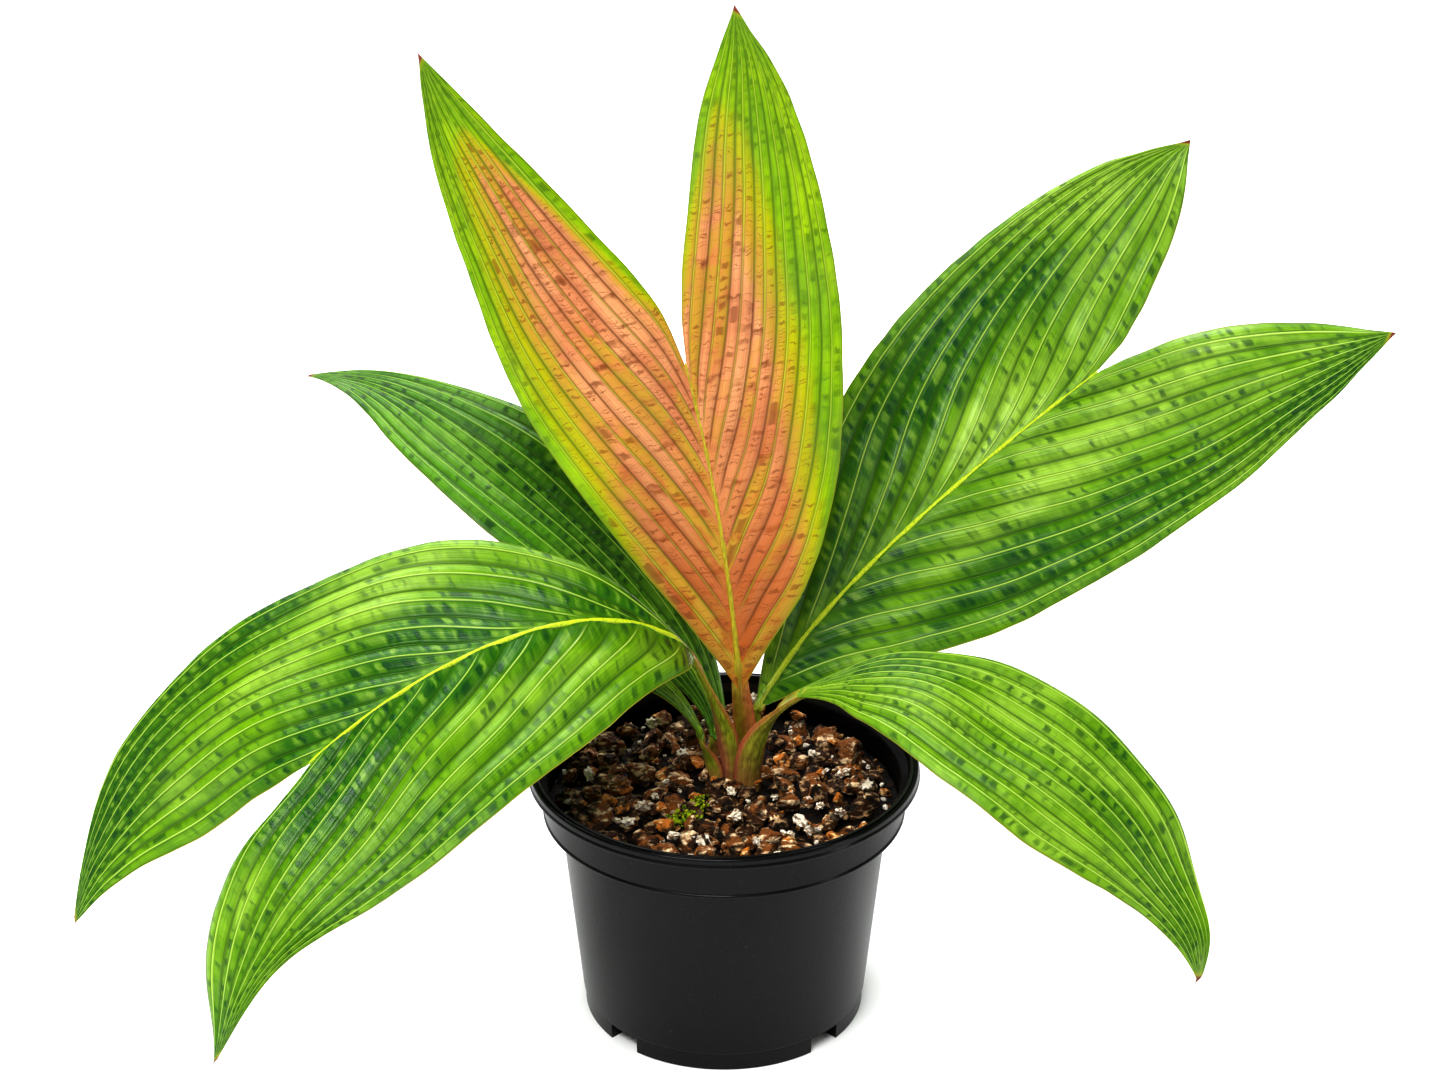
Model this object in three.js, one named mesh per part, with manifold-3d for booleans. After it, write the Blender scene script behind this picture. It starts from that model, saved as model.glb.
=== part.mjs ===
import * as THREE from 'three';
import * as BufferGeometryUtils from 'three/addons/utils/BufferGeometryUtils.js';
import Module from 'manifold-3d';

// A potted calyptrocalyx palm. Millimetres, +Z up, origin under the middle of the pot.
// X runs to the right and Y away from the viewer who stands in front of the plant.

const wasm = await Module();
wasm.setup();

const clearance = 0.3;

// Pot
const potHeight = 115;
const rimRadius = 82.5;
const rimInnerRadius = 78.5;
const lipHeight = 4.6;
const rimTaper = 6.6;
const bandRadius = 76.3;
const bandDrop = 21.5;
const wallTopRadius = 69.7;
const wallFootRadius = 61.1;
const wallThickness = 1.8;
const skirtHeight = 8;
const skirtInset = 1;
const skirtInnerRadius = 53;
const floorUnderside = 4;
const floorTop = 6.5;
const footPadRadius = 18;
const potSides = 36;
const notchCount = 4;
const notchHeight = 7;
const notchWidth = 15.5;
const notchLength = 24;
const notchOvercut = 1;
const bandBottom = potHeight - bandDrop;
const bandInnerRadius = bandRadius - wallThickness;

// Soil
const soilLevel = 101;
const soilLump = 1.2;
const soilRings = 8;
const soilSides = 40;
const soilWallGap = 0.36;

// Buried stem that all the leaf stalks stand on
const stemX = 5;
const stemY = 15.5;
const stemRadius = 19;
const stemFootRadius = 12;
const stemDepth = 16;
const stemTaper = 10;
const stemSides = 24;
const calmReach = 12;

// Leaves
const bladeThickness = 3.4;
const tipThickness = 2;
const pleatDepth = 1.1;
const lobeRibs = 10;
const wholeBladeRibs = 12;
const stepsAlong = 12;
const rootGap = 0.8;
const stalkSides = 8;
const stalkRoom = 0.36;
const bareSteps = 6;
const ribSteps = 9;

/*
 * Each leaf is a flat pattern laid over a curved midline.
 *   foot       where its stalk stands on the stem (x, y)
 *   bend       a point that the bare stalk bends past
 *   midline    four control points, from the foot of the blade to its far end
 *   across     the heading and the dip, in degrees, of the direction across the blade
 *   fold       how far each half rises off the flat, in degrees
 *   footRadius, neckRadius, endRadius   the stalk at the soil, under the blade and at its end
 * A forked blade has two lobes that part at the notch. A lobe's margins are [along, aside] in
 * millimetres: along the midline from the foot of the blade, and aside of it.
 */
const leaves = [
  {
    name: 'young_upright',
    color: 0xdd8a5a,
    foot: [11.2, 19.5],
    bend: [8.9, 19.5, 119],
    midline: [[7, 20, 138], [-3, 42, 246], [-15, 64, 259], [-58, 84, 431]],
    across: [0, 0],
    fold: -10,
    footRadius: 3.7,
    neckRadius: 3.1,
    endRadius: 1.9,
    notch: 142,
    lobes: [
      {
        side: 'left',
        outer: [[0, -5], [16, -10], [45, -28], [89, -52], [143, -71], [199, -77], [253, -78], [293, -72]],
        inner: [[167, -5], [205, -23], [249, -47]],
      },
      {
        side: 'right',
        outer: [[0, 5], [17, 13], [43, 33], [86, 53], [138, 67], [192, 73], [243, 70], [280, 58]],
        inner: [[164, 4], [200, 16], [242, 34]],
      },
    ],
  },
  {
    name: 'back_right',
    color: 0x4f8f2a,
    foot: [13.2, 28.2],
    bend: [12.6, 28.4, 113],
    midline: [[14, 28, 124], [30, 65, 137], [65, 105, 178], [264, 134, 317]],
    across: [-35, 36],
    fold: -6,
    footRadius: 3.7,
    neckRadius: 3,
    endRadius: 1.9,
    notch: 220,
    lobes: [
      {
        side: 'upper',
        outer: [[2, -4], [31, -12], [62, -28], [106, -54], [160, -72], [217, -78], [271, -73], [310, -58]],
        inner: [[236, -4], [261, -16], [288, -34]],
      },
      {
        side: 'lower',
        outer: [[2, 4], [28, 17], [59, 38], [109, 62], [169, 75], [230, 78], [288, 73], [332, 64]],
        inner: [[236, 4], [268, 15], [302, 36]],
      },
    ],
  },
  {
    name: 'front_left',
    color: 0x69a832,
    foot: [3.2, 14.2],
    bend: [3.7, 15, 125],
    midline: [[-12, 9, 159], [-56, -25, 232], [-196, -75, 164], [-241, -110, 47]],
    across: [-65, 25],
    fold: 0,
    footRadius: 4.4,
    neckRadius: 3,
    endRadius: 1.9,
    notch: 190,
    lobes: [
      {
        side: 'upper',
        outer: [[0, -4], [22, -11], [50, -32], [96, -57], [152, -73], [210, -83], [265, -75], [301, -53]],
        inner: [[208, -6], [236, -18], [268, -38]],
      },
      {
        side: 'lower',
        outer: [[0, 4], [12, 16], [42, 37], [89, 60], [147, 72], [206, 70], [261, 57], [303, 57]],
        inner: [[210, 4], [242, 9], [279, 26]],
      },
    ],
  },
  {
    name: 'back_left',
    color: 0x3f7a26,
    foot: [-2.2, 22.6],
    bend: [-4.6, 20, 108],
    midline: [[-4, 22, 113], [4, 50, 127], [-95, 85, 250], [-183, 110, 245]],
    across: [52, 0],
    fold: -8,
    footRadius: 3.6,
    neckRadius: 3.1,
    lobes: [
      {
        side: 'blade',
        outer: [[0, -3], [17, -9], [45, -20], [85, -39], [134, -47], [183, -40], [224, -18], [254, 1]],
        inner: [[0, 3], [19, 9], [46, 18], [87, 30], [134, 35], [181, 28], [225, 18]],
      },
    ],
  },
  {
    name: 'front_right',
    color: 0x5f9f2c,
    foot: [9.6, 4],
    bend: [10, 0, 136],
    midline: [[31, -8, 151], [95, -35, 188], [177, -65, 121], [191, -85, 59]],
    across: [-110, 12],
    fold: 4,
    footRadius: 5.4,
    neckRadius: 2.9,
    lobes: [
      {
        side: 'blade',
        outer: [[0, 3], [19, 11], [38, 24], [74, 37], [118, 41], [157, 32], [193, 14], [223, 3]],
        inner: [[0, -3], [15, -10], [40, -27], [78, -42], [125, -46], [170, -40], [207, -24]],
      },
    ],
  },
  {
    name: 'low_left',
    color: 0x4b8f2c,
    foot: [-2.6, 7.2],
    bend: [-6, 7.6, 116],
    midline: [[-9, 9, 121], [-43, 14, 196], [-104, 14, 141], [-155, 8, 116]],
    across: [-95, 0],
    fold: 0,
    footRadius: 4.2,
    neckRadius: 2.9,
    lobes: [
      {
        side: 'blade',
        outer: [[0, 3], [15, 6], [35, 10], [62, 21], [94, 26], [127, 26], [154, 13], [174, -1]],
        inner: [[0, -3], [12, -6], [32, -10], [60, -18], [92, -28], [125, -25], [153, -13]],
      },
    ],
  },
];

const plant = new THREE.Group();

function addPiece(name, geometry, color, roughness) {
  const material = new THREE.MeshStandardMaterial({ color, roughness, metalness: 0 });
  const mesh = new THREE.Mesh(geometry, material);
  mesh.name = name;
  plant.add(mesh);
}

function toSolid(geometry) {
  const bare = geometry.clone();
  bare.deleteAttribute('normal');
  bare.deleteAttribute('uv');
  const merged = BufferGeometryUtils.mergeVertices(bare, 1e-4);
  const vertProperties = new Float32Array(merged.attributes.position.array);
  const triVerts = new Uint32Array(merged.index.array);
  return new wasm.Manifold(new wasm.Mesh({ numProp: 3, vertProperties, triVerts }));
}

function toGeometry(solid) {
  const mesh = solid.getMesh();
  const geometry = new THREE.BufferGeometry();
  geometry.setAttribute('position', new THREE.BufferAttribute(new Float32Array(mesh.vertProperties), 3));
  geometry.setIndex(Array.from(mesh.triVerts));
  geometry.computeVertexNormals();
  return geometry;
}

function turnedSolid(profile, sides) {
  const points = profile.map(([radius, height]) => new THREE.Vector2(radius, height));
  const geometry = new THREE.LatheGeometry(points, sides);
  geometry.rotateX(Math.PI / 2);
  return geometry;
}

// Inner radius of the pot's tapering wall at a height above the ground
function wallInnerRadius(height) {
  return THREE.MathUtils.lerp(wallFootRadius, wallTopRadius, height / bandBottom) - wallThickness;
}

// Pot: a turned wall with a stepped rim, and drain notches cut through its foot
function potGeometry() {
  const shoulder = bandBottom + wallThickness;
  const lipBottom = potHeight - lipHeight;
  const profile = [
    [0, floorTop],
    [0, 0],
    [footPadRadius, 0],
    [footPadRadius, floorUnderside],
    [skirtInnerRadius, floorUnderside],
    [skirtInnerRadius, 0],
    [wallFootRadius - skirtInset, 0],
    [wallFootRadius - skirtInset, skirtHeight],
    [wallFootRadius, skirtHeight],
    [wallTopRadius, bandBottom],
    [bandRadius, bandBottom],
    [bandRadius, lipBottom],
    [rimRadius, lipBottom],
    [rimRadius, potHeight],
    [rimInnerRadius, potHeight],
    [bandInnerRadius, potHeight - rimTaper],
    [bandInnerRadius, shoulder],
    [wallInnerRadius(shoulder), shoulder],
    [wallInnerRadius(floorTop), floorTop],
    [0, floorTop],
  ];
  let pot = toSolid(turnedSolid(profile, potSides));
  for (let i = 0; i < notchCount; i += 1) {
    const notch = new THREE.BoxGeometry(notchLength, notchWidth, notchHeight + notchOvercut);
    notch.translate(wallFootRadius, 0, (notchHeight - notchOvercut) / 2);
    notch.rotateZ(((2 * i + 1) * Math.PI) / notchCount);
    pot = pot.subtract(toSolid(notch));
  }
  return toGeometry(pot);
}

// Height of the lumpy top of the soil: three crossing waves, level near the middle
function soilTop(x, y) {
  const fromStem = Math.hypot(x - stemX, y - stemY);
  const calm = THREE.MathUtils.smoothstep(fromStem, stemRadius, stemRadius + calmReach);
  const waves = Math.sin(0.31 * x + 0.6) + Math.sin(0.27 * y - 0.4 * x) + Math.sin(0.36 * (x + y));
  return soilLevel + calm * soilLump * waves;
}

// Soil: fills the pot from its floor, 0.3 mm clear of the wall, with a pit for the stem
function soilGeometry() {
  const insideWall = (radius) => radius * Math.cos(Math.PI / potSides) - soilWallGap;
  const bottom = floorTop + clearance;
  const ledge = bandBottom + wallThickness + clearance;
  const neck = insideWall(wallInnerRadius(bandBottom));
  const edge = insideWall(bandInnerRadius);
  const rows = [
    { radius: insideWall(wallInnerRadius(bottom)), height: () => bottom },
    { radius: neck, height: () => bandBottom },
    { radius: neck, height: () => ledge },
    { radius: edge, height: () => ledge },
    { radius: edge, height: soilTop },
  ];
  for (let i = soilRings - 1; i > 0; i -= 1) {
    rows.push({ radius: (edge * i) / soilRings, height: soilTop });
  }
  const positions = [];
  rows.forEach((row) => {
    for (let j = 0; j < soilSides; j += 1) {
      const angle = (2 * Math.PI * j) / soilSides;
      const x = row.radius * Math.cos(angle);
      const y = row.radius * Math.sin(angle);
      positions.push(x, y, row.height(x, y));
    }
  });
  const middle = rows.length * soilSides;
  positions.push(0, 0, soilTop(0, 0), 0, 0, bottom);
  const index = [];
  for (let j = 0; j < soilSides; j += 1) {
    const next = (j + 1) % soilSides;
    for (let i = 0; i < rows.length - 1; i += 1) {
      const a = i * soilSides;
      const b = a + soilSides;
      index.push(a + j, a + next, b + next, a + j, b + next, b + j);
    }
    const last = (rows.length - 1) * soilSides;
    index.push(last + j, last + next, middle, next, j, middle + 1);
  }
  const geometry = new THREE.BufferGeometry();
  geometry.setAttribute('position', new THREE.Float32BufferAttribute(positions, 3));
  geometry.setIndex(index);
  const pitProfile = [
    [0, soilLevel - stemDepth - clearance],
    [stemRadius + clearance, soilLevel - stemDepth - clearance],
    [stemRadius + clearance, potHeight],
    [0, potHeight],
  ];
  const pit = turnedSolid(pitProfile, stemSides);
  pit.translate(stemX, stemY, 0);
  return toGeometry(toSolid(geometry).subtract(toSolid(pit)));
}

// Stem: the short stock in the soil that carries every stalk, its top level with the soil
function stemGeometry() {
  const profile = [
    [0, soilLevel - stemDepth],
    [stemFootRadius, soilLevel - stemDepth],
    [stemRadius, soilLevel - stemDepth + stemTaper],
    [stemRadius, soilLevel],
    [0, soilLevel],
  ];
  const geometry = turnedSolid(profile, stemSides);
  geometry.translate(stemX, stemY, 0);
  return geometry;
}

function vector([x, y, z = 0]) {
  return new THREE.Vector3(x, y, z);
}

// The midline as a curve, with the direction across the blade
function layOut(leaf) {
  const [heading, dip] = leaf.across.map(THREE.MathUtils.degToRad);
  const across = vector([
    Math.cos(heading) * Math.cos(dip),
    Math.sin(heading) * Math.cos(dip),
    -Math.sin(dip),
  ]);
  const curve = new THREE.CubicBezierCurve3(...leaf.midline.map(vector));
  return { curve, across, length: curve.getLength(), fold: THREE.MathUtils.degToRad(leaf.fold) };
}

// The place of a pattern point: along the midline, then aside of it and lifted by the fold
function placeOnLeaf(layout, along, aside, lift = 0) {
  const share = THREE.MathUtils.clamp(along / layout.length, 0, 1);
  const tangent = layout.curve.getTangentAt(share);
  const point = layout.curve.getPointAt(share);
  point.addScaledVector(tangent, along - share * layout.length);
  const across = layout.across.clone().addScaledVector(tangent, -layout.across.dot(tangent)).normalize();
  const normal = tangent.clone().cross(across);
  point.addScaledVector(across, aside * Math.cos(layout.fold));
  point.addScaledVector(normal, Math.abs(aside) * Math.sin(layout.fold) + lift);
  return point;
}

// A closed tube of rings round a path, its ends capped with a middle point
function limbGeometry(path, radii) {
  const positions = [];
  const index = [];
  let side = new THREE.Vector3(1, 0, 0);
  path.forEach((point, i) => {
    const before = path[Math.max(i - 1, 0)];
    const after = path[Math.min(i + 1, path.length - 1)];
    const tangent = i === 0 ? new THREE.Vector3(0, 0, 1) : after.clone().sub(before).normalize();
    side = side.clone().addScaledVector(tangent, -side.dot(tangent)).normalize();
    const front = tangent.clone().cross(side);
    for (let j = 0; j < stalkSides; j += 1) {
      const angle = (2 * Math.PI * j) / stalkSides;
      const rim = point.clone();
      rim.addScaledVector(side, radii[i] * Math.cos(angle));
      rim.addScaledVector(front, radii[i] * Math.sin(angle));
      positions.push(rim.x, rim.y, rim.z);
    }
  });
  const last = path.length - 1;
  const foot = path.length * stalkSides;
  positions.push(path[0].x, path[0].y, path[0].z, path[last].x, path[last].y, path[last].z);
  for (let j = 0; j < stalkSides; j += 1) {
    const next = (j + 1) % stalkSides;
    for (let i = 0; i < last; i += 1) {
      const a = i * stalkSides;
      const b = a + stalkSides;
      index.push(a + j, a + next, b + next, a + j, b + next, b + j);
    }
    index.push(next, j, foot, last * stalkSides + j, last * stalkSides + next, foot + 1);
  }
  const geometry = new THREE.BufferGeometry();
  geometry.setAttribute('position', new THREE.Float32BufferAttribute(positions, 3));
  geometry.setIndex(index);
  geometry.computeVertexNormals();
  return geometry;
}

// Radius of the rib between the lobes, at a distance along the midline
function ribRadius(leaf, along) {
  const share = THREE.MathUtils.clamp(along / leaf.notch, 0, 1);
  return leaf.neckRadius + (leaf.endRadius - leaf.neckRadius) * share;
}

// Stalk: one tapering limb from the stem to the blade, and on as the rib of a forked blade.
// Grown by a margin, it is the room that the blade leaves for it.
function stalkGeometry(leaf, layout, margin = 0) {
  const foot = vector([...leaf.foot, soilLevel + clearance]);
  const bare = new THREE.QuadraticBezierCurve3(foot, vector(leaf.bend), vector(leaf.midline[0]));
  const path = bare.getSpacedPoints(bareSteps);
  const radii = path.map((_, i) => THREE.MathUtils.lerp(leaf.footRadius, leaf.neckRadius, i / bareSteps));
  if (leaf.notch) {
    for (let i = 1; i <= ribSteps; i += 1) {
      const along = (leaf.notch * i) / ribSteps;
      path.push(placeOnLeaf(layout, along, 0));
      radii.push(ribRadius(leaf, along));
    }
  }
  const end = path[path.length - 1];
  end.addScaledVector(end.clone().sub(path[path.length - 2]).normalize(), margin);
  return limbGeometry(path, radii.map((radius) => radius + margin));
}

function marginPoints(stations) {
  const curve = new THREE.CatmullRomCurve3(stations.map(vector), false, 'centripetal');
  return curve.getSpacedPoints(stepsAlong);
}

// Blade: ribs run from its foot to its tip between two margins, with a shallow pleat at each
// rib, and the sheet is thick enough to be a solid
function bladeGeometry(leaf, layout, lobe) {
  const ribs = leaf.notch ? lobeRibs : wholeBladeRibs;
  const tip = lobe.outer[lobe.outer.length - 1];
  const sign = Math.sign(lobe.outer[0][1]);
  const outer = [...lobe.outer];
  const inner = [...lobe.inner, tip];
  if (leaf.notch) {
    outer[0] = [outer[0][0], sign * (ribRadius(leaf, 0) + rootGap)];
    inner.unshift([leaf.notch, sign * (ribRadius(leaf, leaf.notch) + rootGap)]);
  }
  const first = marginPoints(outer);
  const second = marginPoints(inner);
  const middle = [];
  for (let i = 0; i <= stepsAlong; i += 1) {
    const taper = Math.sin((Math.PI * Math.min(i + 1, stepsAlong)) / (stepsAlong + 1));
    for (let j = 0; j <= ribs; j += 1) {
      const flat = first[i].clone().lerp(second[i], j / ribs);
      const pleat = (j % 2 === 0 ? -0.5 : 0.5) * pleatDepth * taper;
      middle.push(placeOnLeaf(layout, flat.x, flat.y, pleat));
    }
  }
  return sheetGeometry(middle, stepsAlong, ribs);
}

// A sheet with thickness round a grid of points that closes to one point in its last row
function sheetGeometry(middle, rows, columns) {
  const stride = columns + 1;
  const centre = Math.round(columns / 2);
  const positions = [];
  const at = (i, j) => middle[i * stride + j];
  const normals = [];
  for (let i = 0; i < rows; i += 1) {
    const along = at(i + 1, centre).clone().sub(at(i, centre));
    const aside = at(i, columns).clone().sub(at(i, 0));
    normals.push(along.cross(aside).normalize());
  }
  [0.5, -0.5].forEach((share) => {
    for (let i = 0; i < rows; i += 1) {
      for (let j = 0; j <= columns; j += 1) {
        const point = at(i, j).clone().addScaledVector(normals[i], share * bladeThickness);
        positions.push(point.x, point.y, point.z);
      }
    }
    const end = at(rows, 0).clone().addScaledVector(normals[rows - 1], share * tipThickness);
    positions.push(end.x, end.y, end.z);
  });
  const layer = rows * stride + 1;
  const index = [];
  const push = (a, b, c) => {
    index.push(a, b, c);
    index.push(a + layer, c + layer, b + layer);
  };
  for (let j = 0; j < columns; j += 1) {
    for (let i = 0; i < rows - 1; i += 1) {
      const a = i * stride + j;
      const b = a + stride;
      push(a, b, b + 1);
      push(a, b + 1, a + 1);
    }
    push((rows - 1) * stride + j, layer - 1, (rows - 1) * stride + j + 1);
  }
  const rim = [];
  for (let i = 0; i < rows; i += 1) {
    rim.push(i * stride);
  }
  rim.push(layer - 1);
  for (let i = rows - 1; i >= 0; i -= 1) {
    rim.push(i * stride + columns);
  }
  for (let j = columns - 1; j > 0; j -= 1) {
    rim.push(j);
  }
  rim.forEach((a, k) => {
    const b = rim[(k + 1) % rim.length];
    index.push(b, a, a + layer, b, a + layer, b + layer);
  });
  const geometry = new THREE.BufferGeometry();
  geometry.setAttribute('position', new THREE.Float32BufferAttribute(positions, 3));
  geometry.setIndex(index);
  geometry.computeVertexNormals();
  return geometry;
}

addPiece('pot', potGeometry(), 0x2b2c2e, 0.5);
addPiece('soil', soilGeometry(), 0x3a2418, 0.95);
addPiece('stem', stemGeometry(), 0x6a4a2c, 0.9);

leaves.forEach((leaf) => {
  const layout = layOut(leaf);
  const room = toSolid(stalkGeometry(leaf, layout, stalkRoom));
  addPiece(`stalk_${leaf.name}`, stalkGeometry(leaf, layout), 0x7a7a34, 0.6);
  leaf.lobes.forEach((lobe) => {
    const blade = toSolid(bladeGeometry(leaf, layout, lobe)).subtract(room);
    addPiece(`frond_${leaf.name}_${lobe.side}`, toGeometry(blade), leaf.color, 0.45);
  });
});

export default plant;
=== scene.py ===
import math
from functools import partial
from types import SimpleNamespace

import bmesh
import bpy
import mathutils
import numpy as np
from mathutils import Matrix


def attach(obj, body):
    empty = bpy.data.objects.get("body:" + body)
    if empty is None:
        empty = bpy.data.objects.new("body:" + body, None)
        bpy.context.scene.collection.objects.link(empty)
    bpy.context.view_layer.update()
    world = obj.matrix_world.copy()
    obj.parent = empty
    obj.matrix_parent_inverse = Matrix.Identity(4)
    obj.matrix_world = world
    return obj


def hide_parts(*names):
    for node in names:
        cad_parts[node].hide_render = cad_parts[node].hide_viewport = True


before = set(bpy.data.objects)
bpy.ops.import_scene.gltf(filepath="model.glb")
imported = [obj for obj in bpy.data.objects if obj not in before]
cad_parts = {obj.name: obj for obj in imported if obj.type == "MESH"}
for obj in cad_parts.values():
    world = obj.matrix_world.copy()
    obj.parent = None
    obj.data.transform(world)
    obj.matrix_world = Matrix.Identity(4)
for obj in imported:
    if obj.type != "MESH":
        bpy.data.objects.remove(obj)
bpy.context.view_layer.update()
scene = bpy.context.scene
mm = 0.001  # every size below is in millimetres, and meshes are in metres


def hexColor(text):
    # sRGB hex to linear: below 0.04045 divided by 12.92, else ((c + 0.055) / 1.055) to the power 2.4
    channels = np.array([int(text[i:i + 2], 16) for i in (1, 3, 5)]) / 255
    linear = np.where(channels <= 0.04045, channels / 12.92, ((channels + 0.055) / 1.055) ** 2.4)
    return (*(float(c) for c in linear), 1)


def smooth(low, high, value):
    # 0 below low, 1 above high, and 3t^2 - 2t^3 between them
    t = np.clip((value - low) / (high - low), 0, 1)
    return t * t * (3 - 2 * t)


def table(columns, rows):
    # each row's values by the names of their columns
    return {name: SimpleNamespace(**dict(zip(columns.split(), row))) for name, row in rows.items()}


def unit(vectors):
    # each vector divided by its own length
    return vectors / np.maximum(np.linalg.norm(vectors, axis=-1, keepdims=True), 1e-9)


def waveNoise(points, size, seed, waves=16):
    # soft relief in about -1..1: a sum of sine waves of about that size, each in a random direction
    rng = np.random.default_rng(seed)
    directions = unit(rng.normal(size=(waves, points.shape[-1])))
    turns = 2 * np.pi / size * rng.uniform(0.6, 1.6, waves)
    phases = rng.uniform(0, 2 * np.pi, waves)
    return np.sin(points @ (directions * turns[:, None]).T + phases).sum(-1) / math.sqrt(waves)


# Meshes

def gridFaces(rows, columns, wrap=False):
    # quads between the points of a grid; if it wraps, its last column joins its first
    across = columns if wrap else columns - 1
    i, j = np.meshgrid(np.arange(rows - 1), np.arange(across), indexing="ij")
    k = (j + 1) % columns
    corners = [i * columns + j, i * columns + k, (i + 1) * columns + k, (i + 1) * columns + j]
    return np.stack(corners, -1).reshape(-1, 4)


def fanFaces(ring, pole):
    # triangles from a closed ring of points to one point
    return np.stack([ring, np.roll(ring, -1), np.full(len(ring), pole)], -1)


def tubeFaces(rows, columns):
    # a grid that wraps, and a fan from each end ring to one of the two points that follow the grid
    ring, count = np.arange(columns), rows * columns
    return [gridFaces(rows, columns, wrap=True), fanFaces(ring[::-1], count),
            fanFaces(count - columns + ring, count + 1)]


def addObject(name, data):
    added = bpy.data.objects.new(name, data)
    scene.collection.objects.link(added)
    return added


def addPiece(name, points, faceSets, material, replaced=(), ribMap=None, tint=None, sharp=None):
    # a closed mesh from arrays, with its faces turned over if they enclose a negative volume
    points = np.asarray(points, float).reshape(-1, 3) * mm
    volume = 0
    for faces in faceSets:
        for k in range(1, faces.shape[1] - 1):
            a, b, c = points[faces[:, 0]], points[faces[:, k]], points[faces[:, k + 1]]
            volume += float((a * np.cross(b, c)).sum())
    if volume < 0:
        faceSets = [faces[:, ::-1] for faces in faceSets]
    corners = np.concatenate([faces.ravel() for faces in faceSets])
    sizes = np.concatenate([np.full(len(faces), faces.shape[1]) for faces in faceSets])
    mesh = bpy.data.meshes.new(name)
    mesh.vertices.add(len(points))
    mesh.vertices.foreach_set("co", points.ravel())
    mesh.loops.add(len(corners))
    mesh.loops.foreach_set("vertex_index", corners)
    mesh.polygons.add(len(sizes))
    mesh.polygons.foreach_set("loop_start", np.concatenate([[0], np.cumsum(sizes)[:-1]]))
    mesh.polygons.foreach_set("use_smooth", np.ones(len(sizes), bool))
    mesh.update(calc_edges=True)
    if ribMap is not None:
        mesh.uv_layers.new(name="ribs").uv.foreach_set("vector", ribMap.reshape(-1, 2)[corners].ravel())
    if tint is not None:
        layer = mesh.color_attributes.new("tint", "FLOAT_COLOR", "POINT")
        layer.data.foreach_set("color", tint.reshape(-1, 4).ravel())
    if sharp is not None:
        mesh.set_sharp_from_angle(angle=math.radians(sharp))
    mesh.materials.append(material)
    piece = addObject(name, mesh)
    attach(piece, "root")
    if replaced:
        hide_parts(*replaced)
    return piece


# Materials

def newMaterial(name):
    # a material, its node tree and its surface shader
    material = bpy.data.materials.new(name)
    material.use_nodes = True
    return material, material.node_tree, material.node_tree.nodes["Principled BSDF"]


def addNode(tree, kind, inputs=(), **settings):
    # one node: its inputs are a list in socket order, or a dictionary by name; one given as a node or
    # socket is linked, and anything else is its value
    node = tree.nodes.new("ShaderNode" + kind)
    for name, value in settings.items():
        setattr(node, name, value)
    for key, value in inputs.items() if isinstance(inputs, dict) else enumerate(inputs):
        if isinstance(value, bpy.types.Node):
            value = value.outputs[0]
        if isinstance(value, bpy.types.NodeSocket):
            tree.links.new(value, node.inputs[key])
        else:
            node.inputs[key].default_value = value
    return node


def addPatterns(tree, patterns, place=None):
    # each pattern is noise in the place, or in the object's own space if none is given, shaped to a mask.
    # Its row has its grain in mm, two levels, detail, shift and, if it isn't 0 to 1, the mask's range.
    place = place or addNode(tree, "TexCoord").outputs["Object"]
    masks = SimpleNamespace()
    for name, (grain, (low, high), detail, shift, *span) in patterns.items():
        spot = addNode(tree, "Mapping", {"Vector": place, "Location": (shift,) * 3,
                                         "Scale": [1000 / size for size in grain]})
        noise = addNode(tree, "TexNoise", {"Vector": spot, "Scale": 1, "Detail": detail})
        mask = addNode(tree, "MapRange", [noise, low, high, *(span or (0, 1))],
                       interpolation_type="SMOOTHSTEP")
        setattr(masks, name, mask.outputs[0])
    return masks


def layTones(tree, base, layers):
    # lays each colour over those before it, as far as the product of its masks
    tone = hexColor(base)
    for *masks, color in layers:
        share = masks[0]
        for mask in masks[1:]:
            share = addNode(tree, "Math", [share, mask], operation="MULTIPLY")
        color = hexColor(color) if isinstance(color, str) else color
        tone = addNode(tree, "MixRGB", {"Fac": share, "Color1": tone, "Color2": color})
    return tone.outputs[0]


def finishSurface(tree, surface, tone, finish, relief):
    # links the colour, sets the finish, and chains bumps: each a height, a strength and a depth in mm
    tree.links.new(tone, surface.inputs["Base Color"])
    for name, value in finish.items():
        surface.inputs[name].default_value = value
    bump = None
    for height, strength, depth in relief:
        settings = {"Height": height, "Strength": strength, "Distance": depth * mm}
        if bump:
            settings["Normal"] = bump
        bump = addNode(tree, "Bump", settings)
    tree.links.new(bump.outputs[0], surface.inputs["Normal"])


# Leaf blades: living tissue whose waxy cuticle gives a satin gloss. Patterns follow the pleats through
# the rib map: metres along the leaf, and the pleat's number at a nominal 10 mm a pleat. A lane is half
# a pleat, and a spot lies where noise along its lane is high. The tint's channels are the pale line on
# a crest, the painted shade lines in the valley and beside the crest, the margin with the tip, and in
# alpha the placed tone, the leaf's own patches with painted shade and painted sheen: 0.5 is neutral,
# less is darker, and more is lighter or, on the young leaf, more salmon.
nominalPleat = 10
leafFinish = {"Roughness": 0.26, "Specular IOR Level": 0.22}
leafPatterns = {
    "darkStretch": ((60, 26, 1), (0.46, 0.66), 2, 3, 0, 0.4),
    "paleStretch": ((38, 20, 1), (0.4, 0.62), 2, 8, 0, 0.6),
    "blotch": ((8, 7, 1), (0.42, 0.68), 3, 5),
    "amount": ((20, 14, 1), (0.34, 0.56), 1, 11),
    "streak": ((110, 0.55, 1), (0.3, 0.72), 2, 0),
    "wander": ((2.6, 2.6, 1), (0.2, 0.8), 1, 9, -0.0008, 0.0008),
}
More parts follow.
